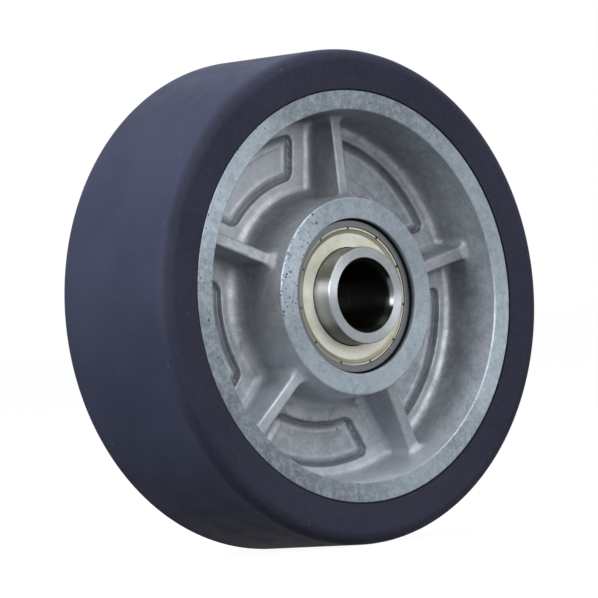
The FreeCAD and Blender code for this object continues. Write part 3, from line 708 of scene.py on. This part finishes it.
def turned_material():
    """Faces cut in a lathe, with painted highlights on parts of the rim and boss and painted shade
    on the lower left of the rim and on the right of the boss, pitted on the left.
    """
    material, n = aluminium("core_turned", CUT_LIGHT, CUT_DARK, CUT_WARM, roughness=0.4, bump=0.2)
    n.brushed(0.75)
    radius = n.radius()
    rim, boss = n.rise(radius, *RIM_RISE), n.rise(radius, *BOSS_RISE)
    # Painted highlight on the right of the rim
    n.tint(n.both(n.toward(*RIM_RIGHT_HIGHLIGHT_SIDE), rim), CUT_RIGHT_HIGHLIGHT)
    # Painted shade on the lower left of the rim
    n.tint(n.both(n.toward(*RIM_LOW_LEFT_SHADE_SIDE), rim), CUT_LOW_LEFT_SHADE)
    # Painted highlights on two sides of the rim and the lower side of the boss
    rim_highlights = n.either(*(n.toward(*side) for side in RIM_HIGHLIGHTED_SIDES))
    boss_highlights = n.both(n.toward(*BOSS_HIGHLIGHTED_SIDE), n.opposite(rim))
    n.tint(n.either(n.both(rim_highlights, rim), boss_highlights), CUT_SIDE_HIGHLIGHTS)
    n.tint(boss, CUT_BOSS)
    n.tint(n.cloud(620, 0.44, 0.60, detail=4, roughness=0.75, warp=0.4), CUT_STREAKS)
    n.tint(n.cloud(330, 0.50, 0.62, detail=5, roughness=0.8), CUT_SHADE)
    # Painted shade on the right of the boss
    n.tint(n.both(n.toward(*BOSS_RIGHT_SHADE_SIDE), boss), CUT_RIGHT_BOSS_SHADE)
    where = n.either(n.toward(*PITTED_SIDE), n.both(n.toward(*PITTED_ABOVE), PITTED_ABOVE_SHARE))
    near_edge = n.either(n.rise(radius, *PITTED_EDGE_RISE), PITTED_EDGE_LEAST)
    near_edge = n.both(near_edge, n.rise(radius, *PITTED_RIM_RISE, PITTED_RIM_LEAST, 1.0))
    clusters = n.both(n.cloud(230, 0.42, 0.60, detail=2), CHANCE_IN_CLUSTER)
    chance = n.both(where, near_edge, n.math("ADD", clusters, CHANCE_BETWEEN))
    for scale, size in PIT_SIZES:
        pits = n.dots(scale, size, size * PIT_CORE, n.math("ADD", chance, CHANCE_ANYWHERE))
        n.tint(pits, CUT_PIT)
    n.tint(n.dots(420, 0.18, 0.06, chance=0.12), CUT_NICK)
    n.color()
    return material


def cast_material():
    """Skin of the casting: smudges, worn patches and pits, painted shade on walls, its upper side,
    rib sides, moats and bearing seat, painted light on lower walls and web, painted highlights on
    pad lips and land edges, and painted glints.
    """
    material, n = aluminium("core_cast", CAST_LIGHT, CAST_DARK, CAST_WARM, roughness=0.5, bump=0.5)
    radius, height, moat = n.radius(), n.height(), n.from_moat()
    n.tint(n.cloud(330, 0.42, 0.64, detail=5, roughness=0.75, warp=0.4), CAST_MOTTLED)
    # Painted shade on walls and ribs above the web, and on the shaded side of the boss
    hollow = n.both(n.band(height, *RECESS_SHADE_BAND),
                    n.cloud(60, 0.34, 0.60, 0.25, 1.0, detail=4, roughness=0.65))
    shaded = n.both(n.toward(*BOSS_SHADED_SIDE), n.rise(radius, *SHADED_RISE),
                    n.band(height, *SHADED_BAND))
    n.tint(n.either(hollow, shaded), CAST_RECESS_SHADE)
    n.tint(n.both(n.toward(*RIM_LIT_SIDE), n.rise(radius, *LIT_RISE)), CAST_LIT)
    # Painted shade on the upper side
    n.tint(n.toward(*UPPER_SHADE_SIDE), CAST_UPPER_SHADE)
    n.tint(n.cloud(55, 0.60, 0.74, detail=5, roughness=0.7), CAST_SMUDGE)
    n.tint(n.cloud(95, 0.58, 0.72, detail=5, roughness=0.7, warp=0.5), CAST_WORN)

    flat = n.rise(height, *FLAT_RISE)
    raised = n.opposite(flat)
    # Painted light on the lower walls and the upper left of the web
    lit_sides = n.either(n.both(n.toward(*RAISED_LIGHT_SIDE), raised),
                     n.both(n.toward(*FLAT_LIGHT_SIDE), flat))
    n.tint(lit_sides, CAST_SIDE_LIGHT)
    # Painted shade on the sides of two ribs and the lower left of the web
    shaded_sides = n.either(*(n.toward(*side) for side in RAISED_SHADE_SIDES))
    shaded_sides = n.either(n.both(n.toward(*FLAT_SHADE_SIDE), flat), n.both(shaded_sides, raised))
    n.tint(shaded_sides, CAST_SIDE_SHADE)

    filled = n.both(n.toward(FILLED_TURN, FILLED_WIDTH, FILLED_SOFT),
                    n.rise(radius, FILLED_RADIUS, FILLED_RADIUS - FILLED_EDGE))
    low = n.both(flat, n.opposite(filled))
    patchy = n.cloud(210, 0.36, 0.62, 0.15, 1.0, detail=5, roughness=0.7)
    # Painted highlight on the pads' lips
    n.tint(n.both(n.band(moat, *LIP_HIGHLIGHT_BAND), low, patchy), CAST_LIP_HIGHLIGHT)
    # Painted highlight on the land's edge beside the moats
    n.tint(n.both(n.band(moat, *LAND_HIGHLIGHT_BAND), low, patchy), CAST_LAND_HIGHLIGHT)
    # Painted shade in the moats
    n.tint(n.both(n.band(moat, *MOAT_SHADE_BAND), low), CAST_MOAT_SHADE)
    n.tint(n.dots(420, 0.30, 0.12, chance=0.06), CAST_PIT)
    # Painted glints on the land
    glint = n.dots(640, 0.26, 0.10, chance=0.24)
    n.tint(n.both(glint, n.band(moat, *GLINT_BAND), flat), CAST_GLINT)
    # Painted shade on the bearing seat's wall
    n.tint(n.both(n.rise(radius, *SEAT_RISE), n.rise(height, *SEAT_HEIGHT_RISE)), CAST_SEAT_SHADE)
    n.color()
    return material


def steel(name, tone, roughness):
    """Material and nodes of steel with fine marks round the axle."""
    material = new_material(name, metallic=1.0, roughness=roughness)
    n = Nodes(material)
    marks = n.cloud(2600, 0.3, 0.7, detail=2, roughness=0.5, stretch=(0.25, 6.0, 0.25))
    n.base = n.mix(marks, scaled(tone, 0.93), tone)
    n.color()
    n.roughness(n.cloud(300, 0.3, 0.7, roughness - 0.03, roughness + 0.04))
    return material, n


def ring_material():
    """Ground steel with a dark line where the ring meets its seat."""
    material, n = steel("ring_steel", RING_TONE, roughness=0.3)
    n.tint(n.rise(n.radius(), *RING_LINE_RISE), RING_LINE)
    n.color()
    return material


def collar_material():
    """Turned steel, with painted dark reflections on its outside, a painted highlight on the left
    of its outside, and painted shade inside the bore.
    """
    material, n = steel("collar_steel", COLLAR_TONE, roughness=0.36)
    radius, height = n.radius(), n.height()
    outside = n.rise(radius, *OUTSIDE_RISE)
    # Painted dark reflections on the outside, mottled
    n.base = n.mix(outside, n.base, n.mix(n.cloud(260, 0.35, 0.7), *OUTSIDE_REFLECTION_TONES))
    # Painted highlight on the left of the outside
    painted_highlight = n.both(n.toward(*COLLAR_HIGHLIGHT_SIDE),
                    n.rise(height, *COLLAR_HIGHLIGHT_RISE, COLLAR_HIGHLIGHT_LEAST, 1.0))
    n.tint(n.both(painted_highlight, outside), COLLAR_PAINTED_HIGHLIGHT)
    # Painted shade inside the bore, weaker on its right near the mouth
    bright = n.both(n.toward(*BORE_BRIGHT_SIDE), n.rise(height, *BORE_BRIGHT_RISE))
    dark = n.ramp(bright, 0, 1, BORE_SHADE_SHARE, BORE_LIT_SHADE_SHARE)
    n.tint(n.rise(radius, *BORE_RISE), (dark, BORE_SHADE_TONE))
    n.color()
    n.brushed(0.9)
    return material


def shield_material():
    """Pale yellow coating with stains, painted shade on the slope up to its bead and in the fold
    below the bead top, a bead greyer on its left, and painted light on the lower part of its flat.
    """
    material = new_material("shield_coat", metallic=0.35, roughness=0.42)
    n = Nodes(material)
    radius = n.radius()
    n.base = n.mix(n.cloud(160, 0.35, 0.7, detail=4), *SHIELD_TONES)
    n.tint(n.cloud(520, 0.60, 0.75, detail=4), SHIELD_STAIN)
    spots = n.both(n.cloud(900, 0.52, 0.62), n.toward(*SPOTS_SIDE),
                   n.band(radius, *SPOTS_BAND))
    n.tint(spots, SHIELD_SPOTS)
    # Painted shade on the slope up to the bead
    n.tint(n.band(radius, *SLOPE_SHADE_BAND), SHIELD_SLOPE_SHADE)
    # Painted shade in the fold between the slope and the bead
    n.tint(n.band(radius, *CREASE_SHADE_BAND), SHIELD_CREASE_SHADE)
    # The bead is greyer on its left side
    n.tint(n.both(n.rise(radius, *GREY_BEAD_RISE), n.toward(*GREY_BEAD_SIDE)), SHIELD_GREY_BEAD)
    # Painted light on the lower part of the flat
    n.tint(n.both(n.toward(*SHIELD_LIGHT_SIDE), n.rise(radius, *SHIELD_LIGHT_RISE)), SHIELD_LOWER_LIGHT)
    n.color()
    n.roughness(n.cloud(400, 0.3, 0.7, 0.36, 0.5))
    return material


tread_look = tread_material()
cast_look = cast_material()
cut_look = turned_material()
ring_look = ring_material()
collar_look = collar_material()
ball_look, _ = steel("ball_steel", BALL_TONE, roughness=0.08)
cage_look, _ = steel("cage_steel", CAGE_TONE, roughness=0.35)
shield_look = shield_material()
# Near-black painted shade for the nicks in the shield's bead
nick_shade_look = new_material("nick_shade", metallic=0.0, roughness=0.4, specular=0.4, color=NICK_SHADE_TONE)


# Pieces of the wheel

def dress(piece, body, node):
    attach(piece, body)
    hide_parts(node)


def tread_piece():
    corners = [
        (CORE_RADIUS, -TREAD_HALF, TREAD_EDGE), (CORE_RADIUS, TREAD_HALF, TREAD_EDGE),
        (TREAD_RADIUS, TREAD_HALF, TREAD_CORNER), (TREAD_RADIUS, -TREAD_HALF, TREAD_CORNER),
    ]
    profile = rounded_profile(corners, closed=True, steps=10)
    points, faces, normals = turned(*profile, WHEEL_SEGMENTS, closed=True)
    piece = make_piece("tread_skin", points, faces.tolist(), normals, [tread_look])
    dress(piece, "wheel", "tread")


def core_pieces():
    """The casting in two halves, with cut faces on the ends of its boss and rim."""
    wall = (FACE - NET_TOP) * DRAFT
    inner_end = BEARING_CENTRE - BEARING_HALF
    boss_line = [
        (BOSS_RADIUS + wall, -NET_TOP), (BOSS_RADIUS, -FACE, CUT_ROUND),
        (SEAT_RADIUS, -FACE, SEAT_ROUND), (SEAT_RADIUS, -inner_end), (HUB_BORE, -inner_end),
        (HUB_BORE, 0),
    ]
    rim_line = [
        (CORE_RADIUS, 0), (CORE_RADIUS, -FACE, OUTER_ROUND), (MOUTH_RADIUS, -FACE, CUT_ROUND),
        (MOUTH_RADIUS - wall, -NET_TOP),
    ]
    flip = np.array([1, -1, 1])
    points, faces, normals = web_surface(1.0)
    parts = [(points * flip, faces[:, ::-1], normals * flip, 0)]
    for line in (boss_line, rim_line):
        points, faces, normals = turned(*rounded_profile(line, steps=4), WHEEL_SEGMENTS)
        cut = np.abs(normals[faces][..., 1]).mean(1) > 0.5
        for chosen, slot in ((cut, 1), (~cut, 0)):
            parts.append((points, faces[chosen], normals, slot))
    points, faces, normals, slots = join_parts(parts)
    looks = [cast_look, cut_look]
    front = make_piece("core_front", points, faces.tolist(), normals, looks, slots)
    rear = make_piece("core_rear", points * flip, faces[:, ::-1].tolist(), normals * flip,
                      looks, slots)
    for piece in (front, rear):
        dress(piece, "wheel", "core")


def bearing_surface(corners, side, angles=BEARING_SEGMENTS, steps=6):
    """Turned ring drawn in the bearing's own frame, +Y outwards, put on one side of the wheel."""
    points, normals, breaks = rounded_profile(corners, closed=True, steps=steps)
    flip = np.array([1, -1 if side == "front" else 1])
    points = (points + np.array([0, BEARING_CENTRE])) * flip
    return turned(points, normals * flip, breaks, angles, closed=True)


def race(shoulder_radius, centre):
    """Corners of a ball race: its two ends, and between them the one that the groove rounds."""
    reach = shoulder_radius - centre
    half = math.sqrt(RACE_RADIUS ** 2 - reach ** 2)
    return ((shoulder_radius, -half), (centre + RACE_RADIUS ** 2 / reach, 0, RACE_RADIUS),
            (shoulder_radius, half))


def ring_pieces(side):
    outer = [
        (RING_SHOULDER, -GROOVE_START), *race(RING_SHOULDER, OUTER_RACE_CENTRE),
        (RING_SHOULDER, GROOVE_START), (GROOVE_RADIUS, GROOVE_START),
        (GROOVE_RADIUS, GROOVE_END), (RING_LAND, GROOVE_END),
        (RING_LAND, BEARING_HALF, RING_ROUND), (SEAT_RADIUS, BEARING_HALF, RING_CHAMFER),
        (SEAT_RADIUS, -BEARING_HALF, RING_CHAMFER), (RING_LAND, -BEARING_HALF, RING_ROUND),
        (RING_LAND, -GROOVE_END), (GROOVE_RADIUS, -GROOVE_END), (GROOVE_RADIUS, -GROOVE_START),
    ]
    points, faces, normals = bearing_surface(outer, side)
    piece = make_piece(side + "_outer_ring_skin", points, faces.tolist(), normals, [ring_look])
    dress(piece, "wheel", side + "_outer_ring")
    collar_end = HUB_HALF - BEARING_CENTRE
    inner = [
        (BORE_RADIUS, -BEARING_HALF, BORE_ROUND),
        (BORE_RADIUS, collar_end - MOUTH_DEPTH, MOUTH_ROUND),
        (BORE_RADIUS + MOUTH_WIDTH, collar_end, MOUTH_EDGE),
        (COLLAR_RADIUS, collar_end, COLLAR_EDGE),
        *reversed(race(COLLAR_RADIUS, INNER_RACE_CENTRE)),
        (COLLAR_RADIUS, -BEARING_HALF, COLLAR_FOOT),
    ]
    points, faces, normals = bearing_surface(inner, side, steps=8)
    piece = make_piece(side + "_inner_ring_skin", points, faces.tolist(), normals, [collar_look])
    dress(piece, "hub", side + "_inner_ring")


def shield_piece(side):
    """Outer shield with a rolled bead that is nicked at even steps."""
    sheet = [
        (SHIELD_HOLE, SHIELD_INSIDE), (SHIELD_HOLE, SHIELD_FACE, 0.12),
        (SHIELD_FLAT, SHIELD_FACE, 0.45), (SHIELD_FOLD, BEAD_TOP, 0.25),
        (SHIELD_BEAD, BEAD_TOP, 0.16), (SHIELD_BEAD, BEAD_FOOT), (SHIELD_RIM, BEAD_FOOT),
        (SHIELD_RIM, BEAD_INSIDE), (SHIELD_FOLD, BEAD_INSIDE), (SHIELD_FLAT, SHIELD_INSIDE),
    ]
    pitch = 2 * math.pi / NICK_COUNT
    inside = np.array([-NICK_HALF * NICK_FLAT, 0.0, NICK_HALF * NICK_FLAT])
    between = np.linspace(NICK_HALF, pitch - NICK_HALF, STEPS_BETWEEN)
    one_pitch = np.concatenate([inside, between])
    angles = np.concatenate([NICK_START + pitch * step + one_pitch for step in range(NICK_COUNT)])
    points, faces, normals = bearing_surface(sheet, side, angles)
    radius = np.hypot(points[:, 0], points[:, 2])
    depth = np.abs(points[:, 1]) - BEARING_CENTRE
    turn = (np.arctan2(points[:, 2], points[:, 0]) - NICK_START) % pitch
    nicked = np.minimum(turn, pitch - turn) < NICK_HALF * NICK_CUT
    nicked &= (radius > NICK_RADIUS) & (depth > NICK_FLOOR)
    points[nicked, 1] -= np.sign(points[nicked, 1]) * NICK_DEPTH
    # Faces in the nicks take the painted shade
    slots = nicked[faces].sum(1) > 1
    piece = make_piece(side + "_outer_shield_skin", points, faces.tolist(), normals,
                       [shield_look, nick_shade_look], slots)
    dress(piece, "wheel", side + "_outer_shield")


tread_piece()
core_pieces()
for wheel_side in ("front", "rear"):
    ring_pieces(wheel_side)
    shield_piece(wheel_side)

slot_looks = {
    "ring_steel": ring_look, "shield_coat": shield_look, "cage_steel": cage_look,
    "ball_steel": ball_look, "cast_aluminium": cast_look, "tread_nylon": tread_look,
}
for row in frame["record"]["subparts"]:
    node = frame["nodes"][row["node"]]
    look = slot_looks[row["material_slot"]]
    if row["node"].endswith("inner_ring") or row["node"] == "spacer_tube":
        look = collar_look
    node.data.materials.clear()
    node.data.materials.append(look)


# Stage, lights and camera. Lengths are metres, but the picture's width and the focal length are
# points of the picture, and the sensor's width is millimetres.

PICTURE_WIDTH, FOCAL_LENGTH = 598, 5997.6
SENSOR_WIDTH = 36
CAMERA_AZIMUTH, CAMERA_ROLL = math.radians(-40.796), math.radians(-5.275)
CAMERA_BACK, CAMERA_RIGHT, CAMERA_UP = 1.8271, -0.001275, 0.000552

# Lamps: name, place (across, upward, towards the camera), size, power and colour
LAMPS = (
    ("key", (-0.95, 0.65, 1.40), (0.6, 0.6), 20, (0.95, 0.975, 1.0)),
    ("front", (0.95, 0.65, 1.25), (1.1, 1.0), 13, (0.97, 0.985, 1.0)),
    ("top", (0.05, 1.75, 0.45), (0.9, 0.7), 15, (0.95, 0.975, 1.0)),
)
SKY_COLOR, SKY_STRENGTH, SKY_MIRRORED = (0.86, 0.93, 1.0, 1), 0.36, 1.0
FLOOR_COLOR, FLOOR_GLOW, FLOOR_MIRRORED = (0.12, 0.12, 0.12, 1), 0.95, 0.5
FLOOR_HALF, FLOOR_HEIGHT = 8, -(TREAD_RADIUS + 0.1) * MM


def camera_axes():
    back = Vector((math.sin(CAMERA_AZIMUTH), -math.cos(CAMERA_AZIMUTH), 0))
    level_right = Vector((math.cos(CAMERA_AZIMUTH), math.sin(CAMERA_AZIMUTH), 0))
    level_up = Vector((0, 0, 1))
    right = level_right * math.cos(CAMERA_ROLL) + level_up * math.sin(CAMERA_ROLL)
    up = level_up * math.cos(CAMERA_ROLL) - level_right * math.sin(CAMERA_ROLL)
    return right, up, back


def add_camera(right, up, back):
    lens = bpy.data.cameras.new("camera")
    lens.sensor_width = SENSOR_WIDTH
    lens.lens = SENSOR_WIDTH * FOCAL_LENGTH / PICTURE_WIDTH
    lens.clip_start, lens.clip_end = 0.1, 20
    camera = bpy.data.objects.new("camera", lens)
    place = back * CAMERA_BACK + right * CAMERA_RIGHT + up * CAMERA_UP
    facing = Matrix((right, up, back)).transposed().to_4x4()
    camera.matrix_world = Matrix.Translation(place) @ facing
    bpy.context.scene.collection.objects.link(camera)
    bpy.context.scene.camera = camera


def add_lamp(right, back, name, place, size, power, color):
    """Rectangular lamp that looks at the middle of the wheel."""
    across, upward, towards = place
    data = bpy.data.lights.new(name, "AREA")
    data.shape = "RECTANGLE"
    data.size, data.size_y = size
    data.energy = power
    data.color = color
    lamp = bpy.data.objects.new(name, data)
    lamp.location = right * across + Vector((0, 0, 1)) * upward + back * towards
    lamp.rotation_mode = "QUATERNION"
    lamp.rotation_quaternion = (-lamp.location).to_track_quat("-Z", "Y")
    bpy.context.scene.collection.objects.link(lamp)


def seen_directly(tree, mirrored):
    """One for camera rays, a share for mirror and glass rays, zero for those of soft light."""
    path = tree.nodes.new("ShaderNodeLightPath")
    result = path.outputs["Is Glossy Ray"]
    for kind, other in (("MAXIMUM", path.outputs["Is Transmission Ray"]), ("MULTIPLY", mirrored),
                        ("MAXIMUM", path.outputs["Is Camera Ray"])):
        node = tree.nodes.new("ShaderNodeMath")
        node.operation = kind
        tree.links.new(result, node.inputs[0])
        if isinstance(other, float):
            node.inputs[1].default_value = other
        else:
            tree.links.new(other, node.inputs[1])
        result = node.outputs[0]
    return result


def mix_in(tree, share, plain, shown, target):
    mix = tree.nodes.new("ShaderNodeMixShader")
    tree.links.new(share, mix.inputs["Fac"])
    tree.links.new(plain, mix.inputs[1])
    tree.links.new(shown, mix.inputs[2])
    tree.links.new(mix.outputs[0], target)


def white_world():
    """Soft pale light that looks white to the camera."""
    world = bpy.data.worlds.new("studio")
    world.use_nodes = True
    tree = world.node_tree
    soft = tree.nodes["Background"]
    soft.inputs["Color"].default_value = SKY_COLOR
    soft.inputs["Strength"].default_value = SKY_STRENGTH
    white = tree.nodes.new("ShaderNodeBackground")
    white.inputs["Color"].default_value = (1, 1, 1, 1)
    mix_in(tree, seen_directly(tree, SKY_MIRRORED), soft.outputs[0], white.outputs[0],
           tree.nodes["World Output"].inputs["Surface"])
    bpy.context.scene.world = world


def pale_floor():
    """Floor that looks white to the camera and keeps a faint shadow."""
    mesh = bpy.data.meshes.new("floor")
    corners = [(-1, -1), (1, -1), (1, 1), (-1, 1)]
    mesh.from_pydata([(x * FLOOR_HALF, y * FLOOR_HALF, 0) for x, y in corners], [], [(0, 1, 2, 3)])
    floor = bpy.data.objects.new("floor", mesh)
    floor.location = (0, 0, FLOOR_HEIGHT)
    paint = bpy.data.materials.new("floor_paint")
    paint.use_nodes = True
    tree = paint.node_tree
    tree.nodes.remove(tree.nodes["Principled BSDF"])
    matt = tree.nodes.new("ShaderNodeBsdfDiffuse")
    matt.inputs["Color"].default_value = FLOOR_COLOR
    glow = tree.nodes.new("ShaderNodeEmission")
    glow.inputs["Strength"].default_value = FLOOR_GLOW
    shown = tree.nodes.new("ShaderNodeAddShader")
    tree.links.new(matt.outputs[0], shown.inputs[0])
    tree.links.new(glow.outputs[0], shown.inputs[1])
    mix_in(tree, seen_directly(tree, FLOOR_MIRRORED), matt.outputs[0], shown.outputs[0],
           tree.nodes["Material Output"].inputs["Surface"])
    mesh.materials.append(paint)
    bpy.context.scene.collection.objects.link(floor)


camera_right, camera_up, camera_back = camera_axes()
add_camera(camera_right, camera_up, camera_back)
for lamp_values in LAMPS:
    add_lamp(camera_right, camera_back, *lamp_values)
white_world()
pale_floor()
bpy.context.scene.view_settings.view_transform = "Standard"
